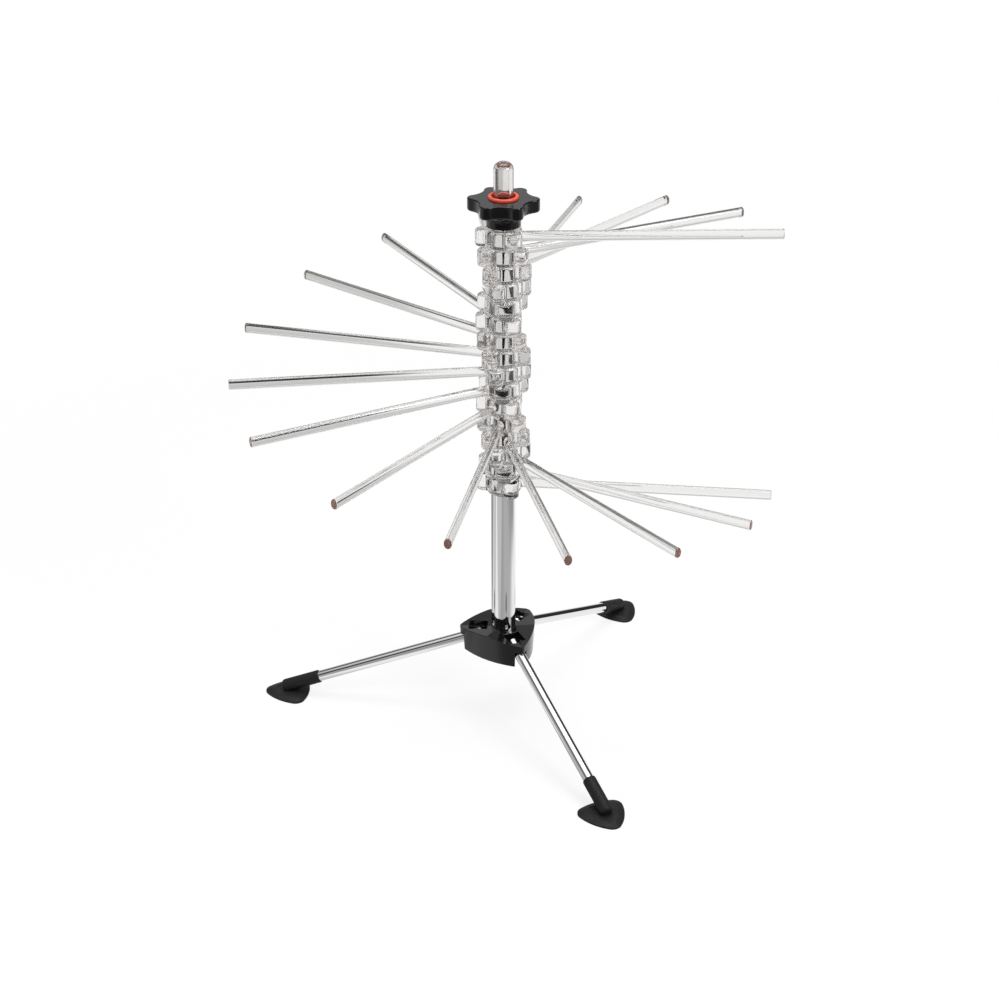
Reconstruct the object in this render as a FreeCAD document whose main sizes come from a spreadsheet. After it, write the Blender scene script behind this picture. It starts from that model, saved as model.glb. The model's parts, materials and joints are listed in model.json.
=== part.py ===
"""Pasta drying rack: a post on a folding tripod, with sixteen clear arms that swing round the post.

Millimetres and degrees. The origin is on the floor, on the post's axis, and +Z is up.
"""
import FreeCAD, Part
import Sketcher
import math
import os

# Driving dimensions
SIZES = (
    ("overrun", 1.0),
    # post
    ("post_diameter", 20.0),
    ("post_wall", 1.5),
    ("bare_post_height", 126.5),
    ("groove_depth", 0.5),
    # hub
    ("hub_bottom", 53.4),
    ("hub_height", 23.6),
    ("hub_corner_offset", 19.4),
    ("hub_corner_radius", 4.0),
    ("hub_side_offset", 12.7),
    ("hub_draft", 1.2),
    ("valley_depth", 2.7),
    ("valley_fall", 1.7),
    ("valley_bank", 7.9),
    ("mouth_margin", 2.0),
    ("mouth_depth", 7.3),
    ("hub_wall", 3.4),
    ("hub_core_height", 15.6),
    ("hub_floor", 5.5),
    ("socket_wall", 3.5),
    ("cheek_thickness", 3.5),
    ("cheek_end_gap", 10.0),
    ("bridge_width", 8.0),
    # legs and their pins
    ("leg_diameter", 9.0),
    ("leg_slope", 20.0),
    ("leg_tail", 5.0),
    ("leg_side_gap", 0.5),
    ("leg_stop_gap", 0.3),
    ("leg_chamfer", 0.8),
    ("pin_diameter", 4.0),
    ("pin_offset", 8.5),
    ("pin_height", 13.3),
    ("pin_running_gap", 0.05),
    # feet
    ("foot_axis_lift", 2.1),
    ("foot_corner_centre", 13.2),
    ("foot_corner_radius", 7.8),
    ("foot_side_reach", 16.3),
    ("foot_edge", 1.4),
    ("foot_crown", 2.0),
    ("foot_crown_inset", 5.0),
    ("sleeve_wall", 1.0),
    ("sleeve_up", 28.0),
    ("sleeve_down", 6.0),
    ("sleeve_lip_radius", 0.9),
    ("sleeve_end_radius", 2.5),
    ("sleeve_end_wall", 3.0),
    # arms and their collars
    ("collar_pitch", 14.0),
    ("collar_gap", 0.3),
    ("collar_bore_gap", 0.25),
    ("collar_corner_radius", 6.0),
    ("collar_side_wall", 4.15),
    ("collar_lobe_offset", 5.75),
    ("collar_top_radius", 2.0),
    ("collar_foot_radius", 2.0),
    ("arm_width", 6.0),
    ("arm_height", 8.5),
    ("arm_reach", 216.0),
    ("arm_tip_radius", 0.9),
    # clamp
    ("stop_ring_rim", 2.5),
    ("stop_ring_thickness", 1.2),
    ("washer_rim", 3.0),
    ("washer_thickness", 2.0),
    ("washer_gap", 0.1),
    ("knob_collar_wall", 3.5),
    ("knob_collar_height", 5.6),
    ("knob_flare_height", 5.6),
    ("knob_flare", 7.6),
    ("knob_thickness", 10.6),
    ("knob_valley_margin", 0.6),
    ("knob_lobe_depth", 6.2),
    ("knob_tip_radius", 5.5),
    ("knob_edge_radius", 1.0),
    ("knob_under_radius", 2.2),
    ("knob_roof", 4.7),
    ("thread_gap", 0.2),
    ("knob_ring_width", 2.8),
    ("knob_ring_gap", 1.25),
    ("knob_ring_seat", 1.5),
    ("knob_ring_proud", 2.0),
    ("knob_ring_edge_radius", 1.2),
    # wand
    ("wand_gap", 0.75),
    ("wand_wall", 3.0),
    ("wand_crown_flat", 1.75),
    ("wand_crown_wall", 4.0),
    ("wand_projection", 28.3),
    ("wand_rest_gap", 0.3),
    # fixing of the post
    ("plug_length", 20.0),
    ("screw_diameter", 5.0),
    ("screw_head_diameter", 9.0),
    ("screw_head_height", 3.0),
    ("screw_grip", 12.0),
    ("screw_socket_across", 4.0),
    ("screw_socket_depth", 2.0),
)
LEG_ANGLES = (60, 180, 300)
LOBES = 6
SAME_HEIGHT = 1e-6
HALF_TURN = 180
COLLAR_TURN = 60

# Where the arms were left standing, from the top one down: a fan set by hand
ARM_ANGLES = (6, 31, 55, 77, 100, 123, 145, 170, 192, 213, 240, 264, 287, 311, 336, 358)

doc = FreeCAD.newDocument("pasta_drying_rack")
sheet = doc.addObject("Spreadsheet::Sheet", "Sizes")
for row, (alias, number) in enumerate(SIZES, start=1):
    sheet.set("A%d" % row, alias)
    sheet.set("B%d" % row, str(number))
    sheet.setAlias("B%d" % row, alias)
doc.recompute()

# Derived sizes and places
POST_BOTTOM = "(Sizes.hub_bottom + Sizes.hub_floor)"
POST_BORE = "(Sizes.post_diameter - 2 * Sizes.post_wall)"
PLUG_TOP = "(%s + Sizes.plug_length)" % POST_BOTTOM
HUB_TOP = "(Sizes.hub_bottom + Sizes.hub_height)"
SOCKET_RADIUS = "(Sizes.post_diameter / 2 + Sizes.socket_wall)"
HUB_CORNER = "(%s + Sizes.hub_corner_offset)" % SOCKET_RADIUS
HUB_CORNER_REACH = "(%s + Sizes.hub_corner_radius)" % HUB_CORNER
HUB_SIDE_REACH = "(%s + Sizes.hub_side_offset)" % SOCKET_RADIUS
SLOT_WIDTH = "(Sizes.leg_diameter + 2 * Sizes.leg_side_gap)"
CHEEK_WIDTH = "(%s + 2 * Sizes.cheek_thickness)" % SLOT_WIDTH
PIN_DISTANCE = "(%s + Sizes.pin_offset)" % SOCKET_RADIUS
PIN_TOP = "(Sizes.hub_bottom + Sizes.pin_height)"
SLEEVE_RADIUS = "(Sizes.leg_diameter / 2 + Sizes.sleeve_wall)"
LEG_DROP = "(%s - %s - Sizes.foot_axis_lift)" % (PIN_TOP, SLEEVE_RADIUS)
LEG_RUN = "(%s / sin(Sizes.leg_slope))" % LEG_DROP
FOOT_DISTANCE = "(%s + %s / tan(Sizes.leg_slope))" % (PIN_DISTANCE, LEG_DROP)
SLEEVE_LIP = "(%s - Sizes.sleeve_up)" % LEG_RUN
SLEEVE_END = "(%s + Sizes.sleeve_down)" % LEG_RUN
ROD_END = "(%s - Sizes.sleeve_end_wall)" % SLEEVE_END
STACK_BOTTOM = "(%s + Sizes.bare_post_height)" % HUB_TOP
STACK_TOP = "(%s + %d * Sizes.collar_pitch)" % (STACK_BOTTOM, len(ARM_ANGLES))
COLLAR_HEIGHT = "(Sizes.collar_pitch - Sizes.collar_gap)"
COLLAR_BORE = "(Sizes.post_diameter + 2 * Sizes.collar_bore_gap)"
COLLAR_SIDE_REACH = "(%s / 2 + Sizes.collar_side_wall)" % COLLAR_BORE
COLLAR_CORNER = "(%s / 2 + Sizes.collar_lobe_offset)" % COLLAR_BORE
WASHER_TOP = "(%s + Sizes.washer_thickness)" % STACK_TOP
KNOB_BOTTOM = "(%s + Sizes.washer_gap)" % WASHER_TOP
KNOB_COLLAR_RADIUS = "(Sizes.post_diameter / 2 + Sizes.knob_collar_wall)"
KNOB_FLARE_RADIUS = "(%s + Sizes.knob_flare)" % KNOB_COLLAR_RADIUS
KNOB_VALLEY_REACH = "(%s + Sizes.knob_valley_margin)" % KNOB_FLARE_RADIUS
KNOB_REACH = "(%s + Sizes.knob_lobe_depth)" % KNOB_VALLEY_REACH
KNOB_NECK = "(Sizes.knob_collar_height + Sizes.knob_flare_height)"
KNOB_HEIGHT = "(%s + Sizes.knob_thickness)" % KNOB_NECK
KNOB_TOP = "(%s + %s)" % (KNOB_BOTTOM, KNOB_HEIGHT)
POST_TOP = "(%s - Sizes.knob_roof)" % KNOB_TOP
WAND_DIAMETER = "(%s - 2 * Sizes.wand_gap)" % POST_BORE
KNOB_RING_BORE = "(%s + 2 * Sizes.knob_ring_gap)" % WAND_DIAMETER
KNOB_RING_DIAMETER = "(%s + 2 * Sizes.knob_ring_width)" % KNOB_RING_BORE
WAND_BOTTOM = "(%s + Sizes.wand_rest_gap)" % PLUG_TOP
WAND_LENGTH = "(%s + Sizes.wand_projection - %s)" % (KNOB_TOP, WAND_BOTTOM)


def value(expression):
    """The number that an expression on the sheet gives."""
    return float(sheet.evalExpression(expression))


def size(alias):
    return value("Sizes." + alias)


def polar(radius, angle):
    """A point at a distance and an angle in degrees from a sketch's origin."""
    turn = math.radians(angle)
    return FreeCAD.Vector(radius * math.cos(turn), radius * math.sin(turn), 0)


def toward(start, end, distance):
    """The point that lies a distance from start on the way to end."""
    step = end - start
    return start + step * (distance / step.Length)


# Outlines

def bulged_triangle(corner_centre, corner_radius, side_reach, inset=0.0):
    """Three round corners, at 0, 120 and 240 degrees, joined by sides that bulge or draw in."""
    inner = side_reach - corner_radius
    back = (corner_centre ** 2 - inner ** 2) / (2 * inner - corner_centre)
    arcs = []
    for angle in (0, 120, 240):
        corner = polar(corner_centre, angle)
        after = polar(corner_centre, angle + 120)
        side_before = polar(back, angle + 120)
        side_after = polar(back, angle + 240)
        radius = corner_radius - inset
        pull = math.copysign(radius, -back)
        start = toward(corner, side_before, pull)
        end = toward(corner, side_after, pull)
        far = toward(after, side_after, pull)
        arcs.append(Part.ArcOfCircle(start, polar(corner_centre + radius, angle), end))
        arcs.append(Part.ArcOfCircle(end, polar(side_reach - inset, angle + 60), far))
    return arcs


def lobed_outline(count, reach, tip_radius, valley_reach):
    """Round tips at a reach, with a shallow scallop between each two."""
    pitch = 360.0 / count
    tip_centre = reach - tip_radius
    half = math.radians(pitch / 2)
    lead = valley_reach - tip_centre * math.cos(half)
    side = tip_centre * math.sin(half)
    scallop = (lead ** 2 + side ** 2 - tip_radius ** 2) / (2 * (tip_radius - lead))
    arcs = []
    for index in range(count):
        angle = index * pitch
        tip = polar(tip_centre, angle)
        next_tip = polar(tip_centre, angle + pitch)
        hollow_before = polar(valley_reach + scallop, angle - pitch / 2)
        hollow_after = polar(valley_reach + scallop, angle + pitch / 2)
        start = toward(tip, hollow_before, tip_radius)
        end = toward(tip, hollow_after, tip_radius)
        far = toward(next_tip, hollow_after, tip_radius)
        arcs.append(Part.ArcOfCircle(start, polar(reach, angle), end))
        arcs.append(Part.ArcOfCircle(end, polar(valley_reach, angle + pitch / 2), far))
    return arcs


def closed_lines(points):
    """Straight edges through points and back to the first."""
    vectors = [FreeCAD.Vector(across, along, 0) for across, along in points]
    return [Part.LineSegment(a, b) for a, b in zip(vectors, vectors[1:] + vectors[:1])]


# Bodies and features

def new_body(label):
    body = doc.addObject("PartDesign::Body", label)
    body.Label = label
    return body


def origin_feature(body, role):
    return next(item for item in body.Origin.OriginFeatures if item.Role == role)


def new_sketch(body, name, role="XY_Plane", offset=None):
    """An empty sketch on one of the body's own planes, moved along its normal."""
    sketch = body.newObject("Sketcher::SketchObject", name)
    sketch.AttachmentSupport = [(origin_feature(body, role), "")]
    sketch.MapMode = "FlatFace"
    if offset:
        sketch.setExpression("AttachmentOffset.Base.z", offset)
    return sketch


def add_circle(sketch, diameter, centre=None):
    """A circle whose diameter follows the sheet, at the origin or at a centre."""
    middle = centre or FreeCAD.Vector()
    index = sketch.addGeometry(Part.Circle(middle, FreeCAD.Vector(0, 0, 1), value(diameter) / 2))
    if centre is None:
        sketch.addConstraint(Sketcher.Constraint("Coincident", index, 3, -1, 1))
    number = sketch.addConstraint(Sketcher.Constraint("Diameter", index, value(diameter)))
    sketch.setExpression("Constraints[%d]" % number, diameter)
    return sketch


def add_oval(sketch, width, height):
    """An upright ellipse at the origin."""
    tall = FreeCAD.Vector(0, value(height) / 2, 0)
    wide = FreeCAD.Vector(value(width) / 2, 0, 0)
    sketch.addGeometry(Part.Ellipse(tall, wide, FreeCAD.Vector()))
    return sketch


def add_edges(sketch, edges):
    sketch.addGeometry(edges)
    return sketch


def add_feature(body, kind, name, sketch, length=None, symmetric=False, reverse=False):
    """A feature made from a sketch. A cut has to take something away, and an addition to add."""
    before = body.Shape.Volume if body.Tip else 0.0
    feature = body.newObject("PartDesign::" + kind, name)
    feature.Profile = sketch
    if length:
        feature.setExpression("Length", length)
    if symmetric:
        feature.SideType = "Symmetric"
    feature.Reversed = reverse
    doc.recompute()
    grows = kind in ("Pad", "Revolution")
    if (feature.Shape.Volume > before) != grows:
        raise RuntimeError("%s in %s changed nothing" % (name, body.Label))
    return feature


def add_loft(body, kind, name, first, *others):
    """Straight-sided loft from one outline through others, added or taken away."""
    loft = body.newObject("PartDesign::" + kind, name)
    loft.Profile = first
    loft.Sections = list(others)
    loft.Ruled = True
    doc.recompute()
    return loft


def revolve(body, name, sketch):
    """A solid of revolution about the sketch's upright axis."""
    feature = body.newObject("PartDesign::Revolution", name)
    feature.Profile = sketch
    feature.ReferenceAxis = (sketch, ["V_Axis"])
    feature.Angle = 360
    doc.recompute()
    return feature


def edges_at_height(feature, height):
    """Names of the feature's edges that lie flat at a height."""
    names = []
    for number, edge in enumerate(feature.Shape.Edges, start=1):
        box = edge.BoundBox
        if abs(box.ZMin - height) + abs(box.ZMax - height) < SAME_HEIGHT:
            names.append("Edge%d" % number)
    return names


def soften(body, kind, name, feature, height, amount):
    """Round or bevel the flat edges of the last feature at a height."""
    softened = body.newObject("PartDesign::" + kind, name)
    softened.Base = (feature, edges_at_height(feature, height))
    softened.setExpression("Radius" if kind == "Fillet" else "Size", amount)
    doc.recompute()
    return softened


def place(body, height=None, angle=0, pitch=None, distance=None):
    """Stand a body on the post's axis, or at a distance from it in the direction of an angle."""
    yaw = angle if angle <= HALF_TURN else angle - 2 * HALF_TURN
    body.setExpression("Placement.Rotation.Yaw", "%d" % yaw)
    if pitch:
        body.setExpression("Placement.Rotation.Pitch", pitch)
    if height:
        body.setExpression("Placement.Base.z", height)
    if distance:
        body.setExpression("Placement.Base.x", "%s * cos(%d)" % (distance, angle))
        body.setExpression("Placement.Base.y", "%s * sin(%d)" % (distance, angle))
    return body


def make_cylinder(label, diameter, length, height):
    body = new_body(label)
    sketch = add_circle(new_sketch(body, label + "_circle"), diameter)
    add_feature(body, "Pad", label + "_length", sketch, length)
    return place(body, height)


def make_ring(label, diameter, bore, thickness, height):
    body = new_body(label)
    sketch = add_circle(new_sketch(body, label + "_circles"), diameter)
    add_feature(body, "Pad", label + "_thickness", add_circle(sketch, bore), thickness)
    return place(body, height)


# Stand: hub, post and what fixes them

def make_hub():
    """Moulded tripod hub: valleys along the legs, cored underside and slots that the legs fold out of."""
    body = new_body("hub")
    shape = (value(HUB_CORNER), size("hub_corner_radius"), value(HUB_SIDE_REACH))
    lower = add_edges(new_sketch(body, "foot_outline"), bulged_triangle(*shape, inset=size("hub_draft")))
    upper = add_edges(new_sketch(body, "rim_outline", offset="Sizes.hub_height"), bulged_triangle(*shape))
    add_loft(body, "AdditiveLoft", "hub_block", lower, upper)

    core_corner = shape[0] - size("bridge_width")
    core_side = shape[2] - size("hub_draft") - size("hub_wall")
    core_edges = bulged_triangle(core_corner, size("hub_wall"), core_side)
    core = add_edges(new_sketch(body, "core_outline"), core_edges)
    add_feature(body, "Pocket", "core", core, "Sizes.hub_core_height", reverse=True)
    boss = add_circle(new_sketch(body, "socket_outline"), "2 * " + SOCKET_RADIUS)
    add_feature(body, "Pad", "socket_boss", boss, "Sizes.hub_core_height")

    half = value(CHEEK_WIDTH) / 2
    far = value(HUB_CORNER_REACH) - size("cheek_end_gap")
    cheek_lines = closed_lines(((0, -half), (far, -half), (far, half), (0, half)))
    cheek_sketch = add_edges(new_sketch(body, "cheek_outline"), cheek_lines)
    cheeks = add_feature(body, "Pad", "cheeks", cheek_sketch, "Sizes.hub_core_height")
    valley_sketch = new_sketch(body, "valley_section", "YZ_Plane")
    valley_sketch.setExpression("AttachmentOffset.Rotation.Roll", "Sizes.valley_fall")
    add_edges(valley_sketch, closed_lines(valley_points()))
    valley = add_feature(body, "Pocket", "valley", valley_sketch, HUB_CORNER_REACH + " + Sizes.overrun",
                         reverse=True)
    slot_sketch = add_edges(new_sketch(body, "slot_outline", "XZ_Plane"), closed_lines(slot_points()))
    slot = add_feature(body, "Pocket", "leg_slot", slot_sketch, SLOT_WIDTH, symmetric=True)
    inner = value(SOCKET_RADIUS)
    outer = value(HUB_CORNER_REACH) - size("bridge_width")
    side = value(SLOT_WIDTH) / 2 + size("mouth_margin")
    mouth_lines = closed_lines(((inner, -side), (outer, -side), (outer, side), (inner, side)))
    mouth_sketch = add_edges(new_sketch(body, "mouth_outline", offset="Sizes.hub_height"), mouth_lines)
    mouth = add_feature(body, "Pocket", "slot_mouth", mouth_sketch, "Sizes.mouth_depth")
    pin_place = FreeCAD.Vector(value(PIN_DISTANCE), size("pin_height"), 0)
    pin_sketch = add_circle(new_sketch(body, "pin_circle", "XZ_Plane"), "Sizes.pin_diameter", pin_place)
    pin_hole = add_feature(body, "Pocket", "pin_hole", pin_sketch, CHEEK_WIDTH, symmetric=True)
    pattern = body.newObject("PartDesign::PolarPattern", "leg_stations")
    pattern.Originals = [cheeks, valley, slot, mouth, pin_hole]
    pattern.Axis = (origin_feature(body, "Z_Axis"), [""])
    pattern.Angle = 360
    pattern.Occurrences = len(LEG_ANGLES)
    body.Tip = pattern
    doc.recompute()

    socket = add_circle(new_sketch(body, "post_circle", offset="Sizes.hub_height"), "Sizes.post_diameter")
    add_feature(body, "Pocket", "post_socket", socket, "Sizes.hub_height - Sizes.hub_floor")
    screw_sketch = add_circle(new_sketch(body, "screw_circle"), "Sizes.screw_diameter")
    add_feature(body, "Pocket", "screw_hole", screw_sketch, "Sizes.hub_floor", reverse=True)
    head_sketch = add_circle(new_sketch(body, "head_circle"), "Sizes.screw_head_diameter")
    add_feature(body, "Pocket", "head_recess", head_sketch, "Sizes.screw_head_height", reverse=True)
    return place(body, "Sizes.hub_bottom", LEG_ANGLES[0])


def valley_points():
    """Cross section of the shallow valley in the hub's top along a leg, with both banks rising to the rim."""
    bank = value(HUB_CORNER_REACH)
    low = size("hub_height") - size("valley_depth")
    rise = bank * math.tan(math.radians(size("valley_bank")))
    high = low + rise + size("overrun")
    return ((0, low), (bank, low + rise), (bank, high), (-bank, high), (-bank, low + rise))


def slot_points():
    """Radial section of a leg slot: open above the leg's root and below, with a bridge at the corner."""
    inner = value(SOCKET_RADIUS)
    outer = value(HUB_CORNER_REACH) + size("overrun")
    bridge = value(HUB_CORNER_REACH) - size("bridge_width")
    slope = math.radians(size("leg_slope"))
    rise = (size("leg_diameter") / 2 + size("leg_stop_gap")) / math.cos(slope)

    def roof(distance):
        return size("pin_height") + rise - (distance - value(PIN_DISTANCE)) * math.tan(slope)

    low = -size("overrun")
    high = size("hub_height") + size("overrun")
    below = ((inner, low), (outer, low), (outer, roof(outer)))
    return below + ((bridge, roof(bridge)), (bridge, high), (inner, high))


def make_post():
    """Tube from the hub's floor up into the knob, with a groove for the ring that carries the arms."""
    body = new_body("post_tube")
    sketch = add_circle(new_sketch(body, "tube_circles"), "Sizes.post_diameter")
    add_feature(body, "Pad", "tube", add_circle(sketch, POST_BORE), "%s - %s" % (POST_TOP, POST_BOTTOM))
    groove_height = "%s - Sizes.stop_ring_thickness - %s" % (STACK_BOTTOM, POST_BOTTOM)
    groove = new_sketch(body, "groove_circles", offset=groove_height)
    add_circle(groove, "Sizes.post_diameter + 2 * Sizes.overrun")
    add_circle(groove, "Sizes.post_diameter - 2 * Sizes.groove_depth")
    add_feature(body, "Pocket", "stop_ring_groove", groove, "Sizes.stop_ring_thickness", reverse=True)
    return place(body, POST_BOTTOM)


def make_plug():
    """Plug in the foot of the post, which the base screw pulls down onto the hub's floor."""
    body = make_cylinder("post_plug", POST_BORE, "Sizes.plug_length", POST_BOTTOM)
    sketch = add_circle(new_sketch(body, "plug_screw_circle"), "Sizes.screw_diameter")
    add_feature(body, "Pocket", "plug_screw_hole", sketch, "Sizes.screw_grip", reverse=True)
    return body


def make_base_screw():
    """Socket screw: its head in the hub's underside, its shank in the plug."""
    head = ("Sizes.screw_head_diameter", "Sizes.screw_head_height")
    body = make_cylinder("base_screw", *head, "Sizes.hub_bottom")
    shank = add_circle(new_sketch(body, "shank_circle"), "Sizes.screw_diameter")
    add_feature(body, "Pad", "shank", shank, "Sizes.hub_floor + Sizes.screw_grip")
    corner = size("screw_socket_across") / math.sqrt(3)
    points = [polar(corner, 60 * index) for index in range(6)]
    hexagon = closed_lines([(point.x, point.y) for point in points])
    socket = add_edges(new_sketch(body, "socket_hexagon"), hexagon)
    add_feature(body, "Pocket", "socket", socket, "Sizes.screw_socket_depth", reverse=True)
    return body


# Legs

def make_leg_rod(number, angle):
    """Round rod with a cross hole for its pin, sloping down to the foot."""
    body = new_body("leg_rod_%d" % number)
    sketch = add_circle(new_sketch(body, "rod_circle", "YZ_Plane", "-Sizes.leg_tail"), "Sizes.leg_diameter")
    rod = add_feature(body, "Pad", "rod", sketch, "%s + Sizes.leg_tail" % ROD_END)
    tail = body.newObject("PartDesign::Chamfer", "rod_tail")
    tail.Base = (rod, edges_near(rod, FreeCAD.Vector(-size("leg_tail"), 0, 0)))
    tail.setExpression("Size", "Sizes.leg_chamfer")
    doc.recompute()
    hole_diameter = "Sizes.pin_diameter + 2 * Sizes.pin_running_gap"
    hole = add_circle(new_sketch(body, "pin_hole_circle", "XZ_Plane"), hole_diameter)
    add_feature(body, "Pocket", "pin_hole", hole, "Sizes.leg_diameter + 2 * Sizes.overrun", symmetric=True)
    return place(body, PIN_TOP, angle, "Sizes.leg_slope", PIN_DISTANCE)


def edges_near(feature, centre):
    """Names of the feature's round edges that are centred on a point."""
    names = []
    for number, edge in enumerate(feature.Shape.Edges, start=1):
        rounded = isinstance(edge.Curve, (Part.Circle, Part.Ellipse))
        if rounded and (edge.Curve.Center - centre).Length < SAME_HEIGHT:
            names.append("Edge%d" % number)
    return names


def make_leg_pin(number, angle):
    """Pin across the slot, tight in the hub's cheeks, that the leg turns on."""
    body = new_body("leg_pin_%d" % number)
    sketch = add_circle(new_sketch(body, "pin_circle", "XZ_Plane"), "Sizes.pin_diameter")
    add_feature(body, "Pad", "pin", sketch, CHEEK_WIDTH, symmetric=True)
    return place(body, PIN_TOP, angle, None, PIN_DISTANCE)


def make_foot(number, angle):
    """Rubber foot: a sleeve over the leg's end on a crowned three-cornered pad."""
    body = new_body("foot_%d" % number)
    sleeve = body.newObject("PartDesign::AdditiveCylinder", "sleeve")
    sleeve.setExpression("Radius", SLEEVE_RADIUS)
    sleeve.setExpression("Height", "Sizes.sleeve_up + Sizes.sleeve_down")
    seat_on_leg(sleeve, SLEEVE_END)
    doc.recompute()
    for name, along, amount in (("sleeve_lip", SLEEVE_LIP, "Sizes.sleeve_lip_radius"),
                                ("sleeve_end", SLEEVE_END, "Sizes.sleeve_end_radius")):
        base = body.Tip
        rounded = body.newObject("PartDesign::Fillet", name)
        rounded.Base = (base, edges_near(base, point_on_leg(along)))
        rounded.setExpression("Radius", amount)
        doc.recompute()

    shape = [size(name) for name in ("foot_corner_centre", "foot_corner_radius", "foot_side_reach")]
    full = bulged_triangle(*shape)
    sole = pad_sketch(body, "sole_outline", full)
    add_feature(body, "Pad", "sole", sole, "Sizes.foot_edge")
    edge = pad_sketch(body, "edge_outline", full, "Sizes.foot_edge")
    crown = pad_sketch(body, "crown_outline", bulged_triangle(*shape, inset=size("foot_crown_inset")),
                       "Sizes.foot_edge + Sizes.foot_crown")
    add_loft(body, "AdditiveLoft", "crown", edge, crown)
    bore = body.newObject("PartDesign::SubtractiveCylinder", "rod_bore")
    bore.setExpression("Radius", "Sizes.leg_diameter / 2")
    bore.setExpression("Height", "%s - %s + Sizes.overrun" % (ROD_END, SLEEVE_LIP))
    seat_on_leg(bore, ROD_END)
    doc.recompute()
    return place(body, None, angle)


def pad_sketch(body, name, edges, height=None):
    """A sketch of the pad's outline, one corner outward, centred under the leg's axis."""
    sketch = new_sketch(body, name, offset=height)
    sketch.setExpression("AttachmentOffset.Base.x", FOOT_DISTANCE)
    return add_edges(sketch, edges)


def seat_on_leg(feature, along):
    """Start a feature on the leg's axis, at a distance from the pin, and point it up the leg."""
    feature.setExpression("Placement.Rotation.Pitch", "Sizes.leg_slope - 90")
    feature.setExpression("Placement.Base.x", "%s + %s * cos(Sizes.leg_slope)" % (PIN_DISTANCE, along))
    feature.setExpression("Placement.Base.z", "%s - %s * sin(Sizes.leg_slope)" % (PIN_TOP, along))


def point_on_leg(along):
    across = value("%s + %s * cos(Sizes.leg_slope)" % (PIN_DISTANCE, along))
    return FreeCAD.Vector(across, 0, value("%s - %s * sin(Sizes.leg_slope)" % (PIN_TOP, along)))


# Arms

def make_arm(number, angle):
    """Clear moulding: an oval rod that stands out of one side of a soft-edged three-cornered collar."""
    body = new_body("arm_%02d" % number)
    shape = (value(COLLAR_CORNER), size("collar_corner_radius"), value(COLLAR_SIDE_REACH))
    outline = new_sketch(body, "collar_outline")
    outline.setExpression("AttachmentOffset.Rotation.Yaw", "%d" % COLLAR_TURN)
    collar = add_feature(body, "Pad", "collar", add_edges(outline, bulged_triangle(*shape)), COLLAR_HEIGHT)
    collar = soften(body, "Fillet", "collar_top", collar, value(COLLAR_HEIGHT), "Sizes.collar_top_radius")
    soften(body, "Fillet", "collar_foot", collar, 0, "Sizes.collar_foot_radius")
    rod_sketch = new_sketch(body, "rod_oval", "YZ_Plane")
    rod_sketch.setExpression("AttachmentOffset.Base.y", COLLAR_HEIGHT + " / 2")
    add_oval(rod_sketch, "Sizes.arm_width", "Sizes.arm_height")
    rod = add_feature(body, "Pad", "rod", rod_sketch, "Sizes.arm_reach")
    tip = body.newObject("PartDesign::Fillet", "rod_tip")
    tip.Base = (rod, edges_near(rod, FreeCAD.Vector(size("arm_reach"), 0, value(COLLAR_HEIGHT) / 2)))
    tip.setExpression("Radius", "Sizes.arm_tip_radius")
    doc.recompute()
    bore = add_circle(new_sketch(body, "bore_circle"), COLLAR_BORE)
    add_feature(body, "Pocket", "post_bore", bore, COLLAR_HEIGHT, reverse=True)
    height = "%s + %d * Sizes.collar_pitch" % (STACK_BOTTOM, len(ARM_ANGLES) - number)
    return place(body, height, angle)


# Clamp and wand

def make_stop_ring():
    """Ring in the post's groove that carries the stack of collars."""
    diameter = "Sizes.post_diameter + 2 * Sizes.stop_ring_rim"
    groove_floor = "Sizes.post_diameter - 2 * Sizes.groove_depth"
    height = "%s - Sizes.stop_ring_thickness" % STACK_BOTTOM
    return make_ring("stop_ring", diameter, groove_floor, "Sizes.stop_ring_thickness", height)


def make_clamp_washer():
    """Washer between the knob's neck and the top collar."""
    diameter = "Sizes.post_diameter + 2 * Sizes.washer_rim"
    return make_ring("clamp_washer", diameter, COLLAR_BORE, "Sizes.washer_thickness", STACK_TOP)


def make_knob():
    """Star knob that screws down the post: a lobed grip on a flared neck, open for the wand."""
    body = new_body("knob")
    outline = lobed_outline(LOBES, value(KNOB_REACH), size("knob_tip_radius"), value(KNOB_VALLEY_REACH))
    grip_sketch = add_edges(new_sketch(body, "grip_outline", offset=KNOB_NECK), outline)
    grip = add_feature(body, "Pad", "grip", grip_sketch, "Sizes.knob_thickness")
    grip = soften(body, "Fillet", "grip_top", grip, value(KNOB_HEIGHT), "Sizes.knob_edge_radius")
    soften(body, "Fillet", "grip_bottom", grip, value(KNOB_NECK), "Sizes.knob_under_radius")
    neck = value(KNOB_COLLAR_RADIUS)
    flare = value(KNOB_FLARE_RADIUS)
    roof = value(KNOB_NECK) + size("knob_under_radius")
    profile = closed_lines(((0, 0), (neck, 0), (neck, size("knob_collar_height")), (flare, roof), (0, roof)))
    revolve(body, "neck", add_edges(new_sketch(body, "neck_profile", "XZ_Plane"), profile))
    thread = add_circle(new_sketch(body, "thread_circle"), "Sizes.post_diameter + 2 * Sizes.thread_gap")
    depth = "%s - Sizes.knob_roof + Sizes.thread_gap" % KNOB_HEIGHT
    add_feature(body, "Pocket", "thread_bore", thread, depth, reverse=True)
    opening = add_circle(new_sketch(body, "wand_circle"), KNOB_RING_BORE)
    add_feature(body, "Pocket", "wand_opening", opening, KNOB_HEIGHT, reverse=True)
    seat = add_circle(new_sketch(body, "ring_circle", offset=KNOB_HEIGHT), KNOB_RING_DIAMETER)
    add_feature(body, "Pocket", "ring_seat", seat, "Sizes.knob_ring_seat")
    return place(body, KNOB_BOTTOM)


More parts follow.
